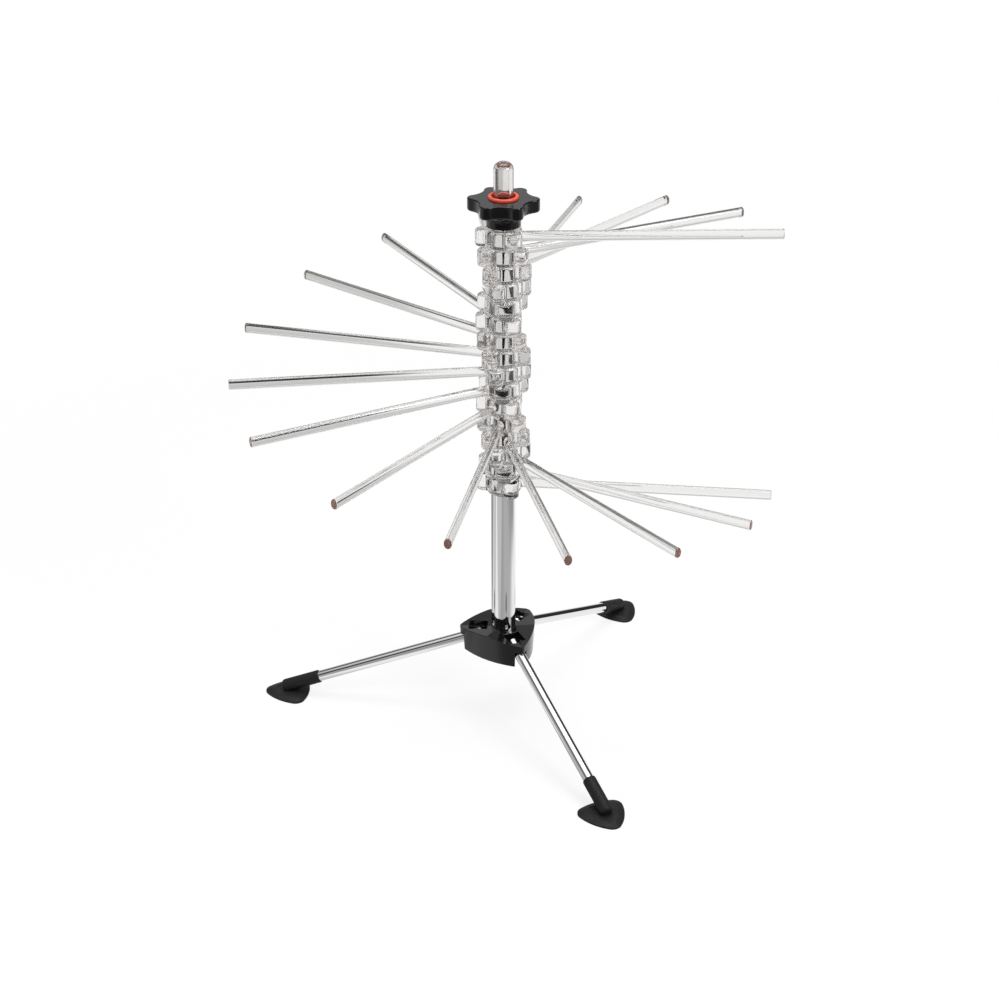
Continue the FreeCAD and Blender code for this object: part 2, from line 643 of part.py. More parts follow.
def make_knob_ring():
    """Coloured ring pressed into the knob's top, round the wand's opening."""
    thickness = "(Sizes.knob_ring_seat + Sizes.knob_ring_proud)"
    seat_height = "%s - Sizes.knob_ring_seat" % KNOB_TOP
    body = make_ring("knob_ring", KNOB_RING_DIAMETER, KNOB_RING_BORE, thickness, seat_height)
    soften(body, "Fillet", "ring_crown", body.Tip, value(thickness), "Sizes.knob_ring_edge_radius")
    return body


def make_wand():
    """Clear tube with a closed, domed top, which stands on the plug inside the post."""
    body = make_cylinder("wand", WAND_DIAMETER, WAND_LENGTH, WAND_BOTTOM)
    crown_radius = "%s / 2 - Sizes.wand_crown_flat" % WAND_DIAMETER
    soften(body, "Fillet", "wand_crown", body.Tip, value(WAND_LENGTH), crown_radius)
    cavity = add_circle(new_sketch(body, "cavity_circle"), WAND_DIAMETER + " - 2 * Sizes.wand_wall")
    add_feature(body, "Pocket", "cavity", cavity, "%s - Sizes.wand_crown_wall" % WAND_LENGTH, reverse=True)
    return body


def make_all():
    """Every piece of the rack, each a body of its own."""
    pieces = [make_hub(), make_post(), make_plug(), make_base_screw()]
    pieces.append(make_stop_ring())
    for number, angle in enumerate(LEG_ANGLES, start=1):
        pieces += [make_leg_rod(number, angle), make_leg_pin(number, angle), make_foot(number, angle)]
    pieces += [make_arm(number, angle) for number, angle in enumerate(ARM_ANGLES, start=1)]
    pieces += [make_clamp_washer(), make_knob(), make_knob_ring(), make_wand()]
    return pieces


def write_parts(pieces):
    """Write each piece to its own file, once the whole document is sound."""
    doc.recompute()
    for item in doc.Objects:
        if "Invalid" in item.State or "Error" in item.State:
            raise RuntimeError("%s failed: %s" % (item.Name, item.State))
    for piece in pieces:
        shape = piece.Shape
        if shape.isNull() or not shape.isValid() or len(shape.Solids) != 1:
            raise RuntimeError("%s is not one sound solid" % piece.Label)
    os.makedirs("parts", exist_ok=True)
    for piece in pieces:
        piece.Shape.exportStep("parts/%s.step" % piece.Label)
        print("%s %.1f mm3" % (piece.Label, piece.Shape.Volume))


write_parts(make_all())
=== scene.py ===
"""Looks of a pasta drying rack: clear arms on bright metal, with black mouldings and rubber feet.

Metres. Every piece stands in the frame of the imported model: +Z up, and the origin on the floor, on the
post's axis.
"""
import json
import math

import bmesh
import bpy
from mathutils import Matrix, Vector


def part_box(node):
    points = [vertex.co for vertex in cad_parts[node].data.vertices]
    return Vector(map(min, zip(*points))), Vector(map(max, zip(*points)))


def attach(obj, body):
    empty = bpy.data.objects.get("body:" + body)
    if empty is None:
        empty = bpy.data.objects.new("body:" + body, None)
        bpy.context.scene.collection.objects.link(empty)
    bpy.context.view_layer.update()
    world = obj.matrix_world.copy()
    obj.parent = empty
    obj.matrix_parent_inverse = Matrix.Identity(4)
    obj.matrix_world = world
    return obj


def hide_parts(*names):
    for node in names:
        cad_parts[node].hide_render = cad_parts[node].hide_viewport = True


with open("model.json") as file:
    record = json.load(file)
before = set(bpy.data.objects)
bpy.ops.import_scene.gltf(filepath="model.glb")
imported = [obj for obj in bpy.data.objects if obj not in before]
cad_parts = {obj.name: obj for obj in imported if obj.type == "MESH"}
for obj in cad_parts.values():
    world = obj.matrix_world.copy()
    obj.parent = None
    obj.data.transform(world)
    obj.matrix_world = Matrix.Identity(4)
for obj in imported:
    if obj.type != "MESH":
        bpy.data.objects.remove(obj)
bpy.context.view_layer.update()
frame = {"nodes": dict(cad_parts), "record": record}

MM = 0.001

# Collar and rod of an arm, with the solids' height and reach
ARM_COUNT = 16
COLLAR_CORNER_CENTRE = 16.0 * MM
COLLAR_CORNER_RADIUS = 6.0 * MM
COLLAR_SIDE_REACH = 14.4 * MM
COLLAR_HOLLOW_RADIUS = 3.0 * MM
COLLAR_HEIGHT = 13.7 * MM
COLLAR_EDGE_RADIUS = 2.0 * MM
COLLAR_BORE_RADIUS = 10.25 * MM
ARM_WIDTH = 6.0 * MM
ARM_HEIGHT = 8.5 * MM
ARM_REACH = 216.0 * MM
ROD_TIP_RADIUS = 0.9 * MM
CORNER_TURNS = (60, 180, 300)

# Post, wand and legs
POST_RADIUS = 10.0 * MM
POST_BORE_RADIUS = 8.5 * MM
WAND_RADIUS = 7.75 * MM
WAND_BORE_RADIUS = 4.75 * MM
WAND_CROWN_RADIUS = 6.0 * MM
WAND_CROWN_WALL = 4.0 * MM
WAND_CAVITY_RADIUS = 2.0 * MM
WAND_BROWN_LOW = 1.6 * MM
WAND_BROWN_HIGH = 0.3 * MM
WAND_BROWN_RADIUS = 3.2 * MM
EDGE_BREAK = 0.4 * MM
LEG_RADIUS = 4.5 * MM
LEG_SLOPE = math.radians(20)
LEG_TAIL = 5.0 * MM
LEG_CHAMFER = 0.8 * MM
PIN_DISTANCE = 22.0 * MM
PIN_HEIGHT = 66.7 * MM
LEG_END = 175.8 * MM
LEG_ANGLES = (60, 180, 300)

# Fineness of the meshes
ROD_SIDES = 64
TUBE_SIDES = 128
CORNER_STEPS = 16
SIDE_STEPS = 18
FILLET_STEPS = 6
CROWN_STEPS = 16
OVERRUN = 1.0 * MM
WELD_DISTANCE = 1e-3 * MM
SHARP_ANGLE = math.radians(32)

# Clear plastic: how much it takes up over a metre, and how strong its flow marks are
CLEAR_IOR = 1.53
ARM_DENSITY = 4.0
ARM_FLOW_MARKS = 0.05
WAND_DENSITY = 28.0
WAND_FLOW_MARKS = 0.5
CLEAR_HAZE = 0.015

# Black mouldings
MOULDING_EDGE_RADIUS = 0.9 * MM
BEVEL_SAMPLES = 6

# The range that a noise mostly keeps to
NOISE_LOW = 0.3
NOISE_HIGH = 0.7

# Camera, from the photograph's perspective
IMAGE_HEIGHT = 1000
FOCAL_PIXELS = 2119.5
PRINCIPAL_SHIFT_PIXELS = 4.0
SENSOR = 36.0
CAMERA_TARGET = Vector((0, 0, 193.25 * MM))
CAMERA_DISTANCE = 1728.5 * MM
CAMERA_AZIMUTH = math.radians(4.6)
CAMERA_ELEVATION = math.radians(27.08)

# Floor, and the share of its light that is its own near the object and far from it
FLOOR_SIZE = 12.0
FLOOR_NEAR = 0.5
FLOOR_FAR = 1.0
FLOOR_NEAR_SHARE = 0.8
FLOOR_FAR_SHARE = 1.0

# Painted reflections and painted shade: soft-edged grey and dark patches on the floor that only metal and
# clear plastic show, standing in for dark surroundings and shadow round the stage: left, right, near, far,
# softness, tone
METAL_PAINTED_REFLECTIONS = (
    (-0.10, 6.00, -6.00, 0.05, 0.16, 0.50),
    (0.22, 6.00, -6.00, 0.25, 0.16, 0.36),
    (-6.00, 0.06, -6.00, 0.12, 0.16, 0.62),
    (-0.12, 0.08, -6.00, -0.02, 0.08, 0.42),
    (-0.60, -0.03, 0.06, 0.60, 0.06, 0.35),
    (-1.00, 1.00, -6.00, -0.42, 0.10, 0.10),
)
# Painted reflections and painted shade that only clear plastic shows
GLASS_PAINTED_REFLECTIONS = (
    (-6.00, -0.14, 0.44, 6.00, 0.08, 0.65),
    (-6.00, -0.70, -0.60, 6.00, 0.20, 0.22),
    (-6.00, -1.60, -1.20, 6.00, 0.30, 0.05),
    (-6.00, -0.07, 0.10, 0.46, 0.08, 0.02),
    (-6.00, 6.00, -0.46, -0.22, 0.06, 0.50),
    (0.50, 6.00, -0.60, 0.06, 0.10, 0.08),
    (-0.10, 0.22, -6.00, -0.44, 0.03, 0.00),
    (-0.75, -0.36, -0.40, -0.06, 0.06, 0.00),
)

# Painted highlight: a white strip on the floor, turned about the post, that only metal shows, so the post
# shows a bright line down its face
METAL_PAINTED_HIGHLIGHT = (0.04, 6.00, -0.06, 0.06, 0.03, 1.00)
METAL_PAINTED_HIGHLIGHT_TURN = math.radians(-153)

# Tones of the room that metal shows
ROOM_DARK = 0.03
ROOM_LEFT = 0.42
ROOM_PANEL = 0.65

# Tones of the room that clear plastic shows
GLASS_LOW = 0.75
GLASS_HIGH = 0.95
GLASS_BAND = 0.5
GLASS_HORIZON = 0.05
GLASS_FRONT = 0.22

# How often light turns inside the clear rods before it is lost
LIGHT_BOUNCES = 64


# Outlines and meshes

def polar(radius, angle):
    return Vector((radius * math.cos(angle), radius * math.sin(angle), 0))


def arc(centre, start, end, steps, hollow=False):
    """Points from start to end about a centre, counter-clockwise unless hollow, with the end left out."""
    first = start - centre
    last = end - centre
    turn = (math.atan2(last.y, last.x) - math.atan2(first.y, first.x)) % math.tau
    if hollow:
        turn -= math.tau
    turns = [Matrix.Rotation(turn * step / steps, 3, "Z") for step in range(steps)]
    return [centre + rotation @ first for rotation in turns]


def collar_outline(inset):
    """A round barrel with three lugs, joined by hollow fillets and drawn in by an inset."""
    lug = COLLAR_CORNER_RADIUS - inset
    barrel = COLLAR_SIDE_REACH - inset
    to_barrel = COLLAR_SIDE_REACH + COLLAR_HOLLOW_RADIUS
    to_lug = COLLAR_CORNER_RADIUS + COLLAR_HOLLOW_RADIUS
    span = COLLAR_CORNER_CENTRE ** 2 + to_barrel ** 2 - to_lug ** 2
    turn_away = math.acos(span / (2 * COLLAR_CORNER_CENTRE * to_barrel))
    third = math.tau / len(CORNER_TURNS)
    points = []
    for turn in CORNER_TURNS:
        angle = math.radians(turn)
        corner = polar(COLLAR_CORNER_CENTRE, angle)
        before = polar(to_barrel, angle - turn_away)
        after = polar(to_barrel, angle + turn_away)
        lug_start = corner + (before - corner).normalized() * lug
        lug_end = corner + (after - corner).normalized() * lug
        barrel_start = polar(barrel, angle + turn_away)
        barrel_end = polar(barrel, angle + third - turn_away)
        next_hollow = polar(to_barrel, angle + third - turn_away)
        next_corner = polar(COLLAR_CORNER_CENTRE, angle + third)
        next_lug = next_corner + (next_hollow - next_corner).normalized() * lug
        points += arc(corner, lug_start, lug_end, CORNER_STEPS)
        points += arc(after, lug_end, barrel_start, FILLET_STEPS, hollow=True)
        points += arc(Vector(), barrel_start, barrel_end, SIDE_STEPS)
        points += arc(next_hollow, barrel_end, next_lug, FILLET_STEPS, hollow=True)
    return points


def quarter(centre_across, centre_up, radius, start, end, steps=FILLET_STEPS):
    """Points of a round edge as (across, up), from one angle in degrees to another."""
    angles = [math.radians(start + (end - start) * step / steps) for step in range(steps + 1)]
    return [(centre_across + radius * math.cos(a), centre_up + radius * math.sin(a)) for a in angles]


def mesh_from(name, build):
    """A mesh that build() fills as a bmesh, smooth apart from its sharp edges."""
    shape = bmesh.new()
    build(shape)
    bmesh.ops.recalc_face_normals(shape, faces=shape.faces)
    mesh = bpy.data.meshes.new(name)
    shape.to_mesh(mesh)
    shape.free()
    return smooth(mesh)


def smooth(mesh):
    mesh.shade_smooth()
    mesh.set_sharp_from_angle(angle=SHARP_ANGLE)
    return mesh


def join_rings(shape, rings, closed=False):
    """Faces between each two rings of points, and caps on the first and last."""
    loops = [[shape.verts.new(point) for point in ring] for ring in rings]
    pairs = list(zip(loops, loops[1:]))
    if closed:
        pairs.append((loops[-1], loops[0]))
    for lower, upper in pairs:
        for index in range(len(lower)):
            after = (index + 1) % len(lower)
            shape.faces.new((lower[index], lower[after], upper[after], upper[index]))
    if not closed:
        shape.faces.new(loops[0][::-1])
        shape.faces.new(loops[-1])


def circle(radius, height, sides):
    return [polar(radius, math.tau * side / sides) + Vector((0, 0, height)) for side in range(sides)]


def lathe(name, profile, sides, closed=False):
    """A round piece about Z, from (radius, height) points: solid, or a tube where the profile is closed."""
    rings = [circle(radius, height, sides) for radius, height in profile]
    return mesh_from(name, lambda shape: join_rings(shape, rings, closed))


def new_object(name, mesh):
    item = bpy.data.objects.new(name, mesh)
    bpy.context.scene.collection.objects.link(item)
    return item


def carve(base, tool, operation):
    """Join a tool to a base, or cut it away, and keep the result as the base's own mesh."""
    change = base.modifiers.new(operation, "BOOLEAN")
    change.operation = operation
    change.solver = "EXACT"
    change.object = tool
    graph = bpy.context.evaluated_depsgraph_get()
    mesh = bpy.data.meshes.new_from_object(base.evaluated_get(graph))
    base.modifiers.clear()
    base.data = mesh
    bpy.data.objects.remove(tool)
    return base


# Clear pieces

def arm_mesh():
    """Collar and rod in one, the rod along +X and the collar's foot at zero."""
    top = COLLAR_HEIGHT - COLLAR_EDGE_RADIUS
    levels = [(COLLAR_EDGE_RADIUS * (1 - across), COLLAR_EDGE_RADIUS * (1 + up))
              for across, up in quarter(0, 0, 1, -90, 0)]
    levels += [(COLLAR_EDGE_RADIUS * (1 - across), top + COLLAR_EDGE_RADIUS * up)
               for across, up in quarter(0, 0, 1, 0, 90)]
    rings = [[point + Vector((0, 0, height)) for point in collar_outline(inset)]
             for inset, height in levels]
    arm = new_object("arm_shape", mesh_from("arm_shape", lambda shape: join_rings(shape, rings)))

    half = ARM_HEIGHT / 2
    tip = quarter(half - ROD_TIP_RADIUS, ARM_REACH - ROD_TIP_RADIUS, ROD_TIP_RADIUS, 0, 90)
    shank = [(half, 0), (half, ARM_REACH - 2 * ROD_TIP_RADIUS)]
    rod = new_object("rod_shape", lathe("rod_shape", shank + tip, ROD_SIDES))
    oval = Matrix.Diagonal((1, ARM_WIDTH / ARM_HEIGHT, 1, 1))
    turn = Matrix.Rotation(math.radians(90), 4, "Y")
    rod.matrix_world = Matrix.Translation((0, 0, COLLAR_HEIGHT / 2)) @ turn @ oval
    carve(arm, rod, "UNION")

    bore = [(COLLAR_BORE_RADIUS, -OVERRUN), (COLLAR_BORE_RADIUS, COLLAR_HEIGHT + OVERRUN)]
    carve(arm, new_object("bore_shape", lathe("bore_shape", bore, TUBE_SIDES)), "DIFFERENCE")
    mesh = arm.data
    bpy.data.objects.remove(arm)
    return smooth(mesh)


def arm_direction(node):
    """The angle that an arm's tip stands at, from the solid's farthest points."""
    points = [vertex.co for vertex in frame["nodes"][node].data.vertices]
    far = max(point.xy.length for point in points)
    tip = [point for point in points if point.xy.length > far - ROD_TIP_RADIUS / 2]
    middle = sum(tip, Vector()) / len(tip)
    return math.atan2(middle.y, middle.x)


def make_arms(material, end_material):
    mesh = arm_mesh()
    mesh.materials.append(material)
    mesh.materials.append(end_material)
    for face in mesh.polygons:
        if face.center.x > ARM_REACH - ROD_TIP_RADIUS / 4:
            face.material_index = 1
    for number in range(1, ARM_COUNT + 1):
        node = "arm_%02d" % number
        piece = new_object(node + "_clear", mesh)
        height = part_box(node)[0].z
        turn = Matrix.Rotation(arm_direction(node), 4, "Z")
        piece.matrix_world = Matrix.Translation((0, 0, height)) @ turn
        settle(piece, node, node)


def settle(piece, body, node):
    """Let a piece ride on its body in place of the solid that it stands for."""
    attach(piece, body)
    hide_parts(node)


def make_wand(material, crown_material):
    """Clear tube with a domed, closed top, brown round the shoulder of the dome."""
    low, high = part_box("wand")
    bottom = low.z
    top = high.z
    cavity_top = top - WAND_CROWN_WALL
    profile = [(WAND_BORE_RADIUS, bottom), (WAND_RADIUS - EDGE_BREAK, bottom),
               (WAND_RADIUS, bottom + EDGE_BREAK)]
    profile += quarter(WAND_RADIUS - WAND_CROWN_RADIUS, top - WAND_CROWN_RADIUS,
                       WAND_CROWN_RADIUS, 0, 90, CROWN_STEPS)
    cavity = quarter(WAND_BORE_RADIUS - WAND_CAVITY_RADIUS, cavity_top - WAND_CAVITY_RADIUS,
                     WAND_CAVITY_RADIUS, 90, 0)

    def build(shape):
        rings = [circle(radius, height, ROD_SIDES) for radius, height in profile]
        inner = [circle(radius, height, ROD_SIDES) for radius, height in cavity]
        join_rings(shape, rings)
        join_rings(shape, inner + [rings[0]])
        bmesh.ops.remove_doubles(shape, verts=shape.verts, dist=WELD_DISTANCE)
        floors = [face for face in shape.faces if len(face.verts) == ROD_SIDES
                  and face.calc_center_median().z < bottom + EDGE_BREAK]
        bmesh.ops.delete(shape, geom=floors, context="FACES_ONLY")

    mesh = mesh_from("wand_clear", build)
    mesh.materials.append(material)
    mesh.materials.append(crown_material)
    for face in mesh.polygons:
        at_shoulder = top - WAND_BROWN_LOW < face.center.z < top - WAND_BROWN_HIGH
        if at_shoulder and face.center.xy.length > WAND_BROWN_RADIUS:
            face.material_index = 1
    settle(new_object("wand_clear", mesh), "wand", "wand")


# Metal pieces

def make_post(material):
    """Drawn tube with broken edges."""
    low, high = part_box("post_tube")
    profile = [(POST_BORE_RADIUS, low.z), (POST_RADIUS - EDGE_BREAK, low.z),
               (POST_RADIUS, low.z + EDGE_BREAK), (POST_RADIUS, high.z - EDGE_BREAK),
               (POST_RADIUS - EDGE_BREAK, high.z), (POST_BORE_RADIUS, high.z)]
    mesh = lathe("post_bright", profile, TUBE_SIDES, closed=True)
    mesh.materials.append(material)
    settle(new_object("post_bright", mesh), "stand", "post_tube")


def make_legs(material):
    """Bright rods with bevelled ends, sloping from the hub to the feet."""
    profile = [(LEG_RADIUS - LEG_CHAMFER, -LEG_TAIL), (LEG_RADIUS, LEG_CHAMFER - LEG_TAIL),
               (LEG_RADIUS, LEG_END - LEG_CHAMFER), (LEG_RADIUS - LEG_CHAMFER, LEG_END)]
    mesh = lathe("leg_bright", profile, ROD_SIDES)
    mesh.materials.append(material)
    for number, angle in enumerate(LEG_ANGLES, start=1):
        turn = math.radians(angle)
        piece = new_object("leg_bright_%d" % number, mesh)
        place = Matrix.Translation(polar(PIN_DISTANCE, turn) + Vector((0, 0, PIN_HEIGHT)))
        tilt = Matrix.Rotation(math.radians(90) + LEG_SLOPE, 4, "Y")
        piece.matrix_world = place @ Matrix.Rotation(turn, 4, "Z") @ tilt
        settle(piece, "leg_%d" % number, "leg_rod_%d" % number)


# Materials

def new_material(name):
    material = bpy.data.materials.new(name)
    material.use_nodes = True
    return material, material.node_tree, material.node_tree.nodes["Principled BSDF"]


def noise(tree, scale, stretch=(1, 1, 1), detail=3):
    """Noise in the piece's own metres, drawn out along an axis by a stretch under 1."""
    place = tree.nodes.new("ShaderNodeTexCoord")
    mapping = tree.nodes.new("ShaderNodeMapping")
    mapping.inputs["Scale"].default_value = stretch
    texture = tree.nodes.new("ShaderNodeTexNoise")
    texture.inputs["Scale"].default_value = scale
    texture.inputs["Detail"].default_value = detail
    tree.links.new(place.outputs["Object"], mapping.inputs["Vector"])
    tree.links.new(mapping.outputs["Vector"], texture.inputs["Vector"])
    return texture.outputs["Fac"]


def spread(tree, factor, low, high):
    """A factor's middle range mapped to values from low to high."""
    change = tree.nodes.new("ShaderNodeMapRange")
    change.inputs["From Min"].default_value = NOISE_LOW
    change.inputs["From Max"].default_value = NOISE_HIGH
    change.inputs["To Min"].default_value = low
    change.inputs["To Max"].default_value = high
    tree.links.new(factor, change.inputs["Value"])
    return change.outputs["Result"]


def mixed_colour(tree, factor, first, second):
    mix = tree.nodes.new("ShaderNodeMix")
    mix.data_type = "RGBA"
    mix.inputs["A"].default_value = (*first, 1)
    mix.inputs["B"].default_value = (*second, 1)
    tree.links.new(factor, mix.inputs["Factor"])
    return mix.outputs["Result"]


def round_edges(tree, radius):
    """A normal that rounds the sharp edges of a moulding."""
    node = tree.nodes.new("ShaderNodeBevel")
    node.samples = BEVEL_SAMPLES
    node.inputs["Radius"].default_value = radius
    return node.outputs["Normal"]


def bump(tree, shader, height, distance, strength=1.0, under=None):
    node = tree.nodes.new("ShaderNodeBump")
    if under:
        tree.links.new(under, node.inputs["Normal"])
    node.inputs["Strength"].default_value = strength
    node.inputs["Distance"].default_value = distance
    tree.links.new(height, node.inputs["Height"])
    tree.links.new(node.outputs["Normal"], shader.inputs["Normal"])


def clear_plastic():
    return clear_moulding("clear_plastic", ARM_DENSITY, ARM_FLOW_MARKS)


def clear_wand():
    """The wand's plastic, browner and with more flow marks than the arms'."""
    return clear_moulding("clear_wand", WAND_DENSITY, WAND_FLOW_MARKS)


def clear_moulding(name, density, unevenness):
    """Clear moulded plastic, brown over a long path, with flow marks."""
    material, tree, shader = new_material(name)
    shader.inputs["Base Color"].default_value = (0.93, 0.93, 0.925, 1)
    shader.inputs["Transmission Weight"].default_value = 1.0
    shader.inputs["IOR"].default_value = CLEAR_IOR
    tree.links.new(spread(tree, noise(tree, 160), 0.0, 0.012), shader.inputs["Roughness"])
    bump(tree, shader, noise(tree, 90, detail=1), 0.05 * MM, unevenness)
    absorb = tree.nodes.new("ShaderNodeVolumeAbsorption")
    absorb.inputs["Color"].default_value = (0.62, 0.46, 0.38, 1)
    absorb.inputs["Density"].default_value = density
    output = tree.nodes["Material Output"]
    haze = tree.nodes.new("ShaderNodeBsdfDiffuse")
    haze.inputs["Color"].default_value = (0.60, 0.57, 0.55, 1)
    mix = tree.nodes.new("ShaderNodeMixShader")
    mix.inputs["Fac"].default_value = CLEAR_HAZE
    tree.links.new(shader.outputs["BSDF"], mix.inputs[1])
    tree.links.new(haze.outputs["BSDF"], mix.inputs[2])
    tree.links.new(mix.outputs["Shader"], output.inputs["Surface"])
    tree.links.new(absorb.outputs["Volume"], output.inputs["Volume"])
    return material


def clear_end():
    """The flat end of a clear rod, which shows the brown of the rod's whole length."""
    material, tree, shader = new_material("clear_end")
    colour = mixed_colour(tree, noise(tree, 900), (0.17, 0.075, 0.058), (0.36, 0.19, 0.15))
    tree.links.new(colour, shader.inputs["Base Color"])
    shader.inputs["Transmission Weight"].default_value = 0.35
    shader.inputs["IOR"].default_value = CLEAR_IOR
    tree.links.new(spread(tree, noise(tree, 400), 0.15, 0.3), shader.inputs["Roughness"])
    return material


def black_plastic():
    """Black gloss moulding with a faint unevenness in its polish."""
    material, tree, shader = new_material("black_plastic")
    colour = mixed_colour(tree, noise(tree, 60), (0.004, 0.004, 0.0045), (0.008, 0.008, 0.008))
    tree.links.new(colour, shader.inputs["Base Color"])
    tree.links.new(spread(tree, noise(tree, 220), 0.07, 0.13), shader.inputs["Roughness"])
    shader.inputs["Specular IOR Level"].default_value = 0.36
    bump(tree, shader, noise(tree, 700), 0.01 * MM, 0.2, round_edges(tree, MOULDING_EDGE_RADIUS))
    return material


def black_rubber():
    """Matt moulded rubber with a fine grain."""
    material, tree, shader = new_material("black_rubber")
    colour = mixed_colour(tree, noise(tree, 120), (0.007, 0.007, 0.0075), (0.016, 0.016, 0.0165))
    tree.links.new(colour, shader.inputs["Base Color"])
    tree.links.new(spread(tree, noise(tree, 400), 0.5, 0.68), shader.inputs["Roughness"])
    shader.inputs["Specular IOR Level"].default_value = 0.25
    bump(tree, shader, noise(tree, 2500), 0.05 * MM, 0.5)
    return material


def orange_plastic():
    material, tree, shader = new_material("orange_plastic")
    colour = mixed_colour(tree, noise(tree, 150), (0.85, 0.095, 0.050), (0.92, 0.125, 0.070))
    tree.links.new(colour, shader.inputs["Base Color"])
    tree.links.new(spread(tree, noise(tree, 300), 0.28, 0.4), shader.inputs["Roughness"])
    shader.inputs["Subsurface Weight"].default_value = 0.15
    shader.inputs["Subsurface Radius"].default_value = (1.0, 0.3, 0.2)
    shader.inputs["Subsurface Scale"].default_value = 1.0 * MM
    return material


def white_plastic():
    material, tree, shader = new_material("white_plastic")
    colour = mixed_colour(tree, noise(tree, 80), (0.70, 0.70, 0.68), (0.76, 0.76, 0.74))
    tree.links.new(colour, shader.inputs["Base Color"])
    tree.links.new(spread(tree, noise(tree, 300), 0.4, 0.5), shader.inputs["Roughness"])
    return material


def metal(name, dark, light, rough_low, rough_high, stretch, scale):
    """A metal whose tone and polish vary in streaks along the piece."""
    material, tree, shader = new_material(name)
    streaks = noise(tree, scale, stretch)
    tree.links.new(mixed_colour(tree, streaks, dark, light), shader.inputs["Base Color"])
    shader.inputs["Metallic"].default_value = 1.0
    tree.links.new(spread(tree, streaks, rough_low, rough_high), shader.inputs["Roughness"])
    bump(tree, shader, streaks, 0.01 * MM, 0.15)
    return material


def paint_nodes(finishes):
    """Give each solid its finish by the material slot that the record names."""
    by_node = {item["node"]: item["material_slot"] for item in frame["record"]["subparts"]}
    for name, item in frame["nodes"].items():
        item.data.materials.clear()
        item.data.materials.append(finishes[by_node[name]])


# Stage

def math_node(tree, operation, first, second):
    """The result of an operation on two values, each a socket or a number."""
    node = tree.nodes.new("ShaderNodeMath")
    node.operation = operation
    for socket, given in zip(node.inputs, (first, second)):
        if isinstance(given, (int, float)):
            socket.default_value = given
        else:
            tree.links.new(given, socket)
    return node.outputs[0]


def ramp(tree, given, low, high, first, second):
    """A value that goes smoothly from first to second while another goes from low to high."""
    node = tree.nodes.new("ShaderNodeMapRange")
    node.interpolation_type = "SMOOTHSTEP"
    for name, number in (("From Min", low), ("From Max", high), ("To Min", first), ("To Max", second)):
        node.inputs[name].default_value = number
    tree.links.new(given, node.inputs["Value"])
    return node.outputs["Result"]


def choose(tree, factor, first, second):
    """One value or another by a factor, each a socket or a number."""
    node = tree.nodes.new("ShaderNodeMix")
    for name, given in (("A", first), ("B", second)):
        if isinstance(given, (int, float)):
            node.inputs[name].default_value = given
        else:
            tree.links.new(given, node.inputs[name])
    tree.links.new(factor, node.inputs["Factor"])
    return node.outputs["Result"]


def between(tree, given, low, high, soft):
    """One between two limits and zero outside them, with soft edges."""
    rise = ramp(tree, given, low, low + soft, 0.0, 1.0)
    fall = ramp(tree, given, high - soft, high, 1.0, 0.0)
    return math_node(tree, "MULTIPLY", rise, fall)


def lay_painted_patch(tree, x, y, patch, under):
    """The tone of the floor with one soft-edged patch of painted reflection, shade or highlight on it."""
    left, right, near, far, soft, tone = patch
    across = between(tree, x, left, right, soft)
    along = between(tree, y, near, far, soft)
    return choose(tree, math_node(tree, "MULTIPLY", across, along), under, tone)


def lay_painted_patches(tree, x, y, patches):
    """The tone of a white floor with all of a table's patches of painted reflection and painted shade on
    it.
    """
    tone = 1.0
    for patch in patches:
        tone = lay_painted_patch(tree, x, y, patch, tone)
    return tone


def turned(tree, x, y, angle):
    """A place's distance along a direction on the floor and to the left of it."""
    forward = math.cos(angle)
    left = math.sin(angle)
    along = math_node(tree, "ADD", math_node(tree, "MULTIPLY", x, forward),
                      math_node(tree, "MULTIPLY", y, left))
    aside = math_node(tree, "SUBTRACT", math_node(tree, "MULTIPLY", y, forward),
                      math_node(tree, "MULTIPLY", x, left))
    return along, aside


def separate(tree, vector):
    """The three parts of a vector."""
    parts = tree.nodes.new("ShaderNodeSeparateXYZ")
    tree.links.new(vector, parts.inputs["Vector"])
    return parts.outputs["X"], parts.outputs["Y"], parts.outputs["Z"]


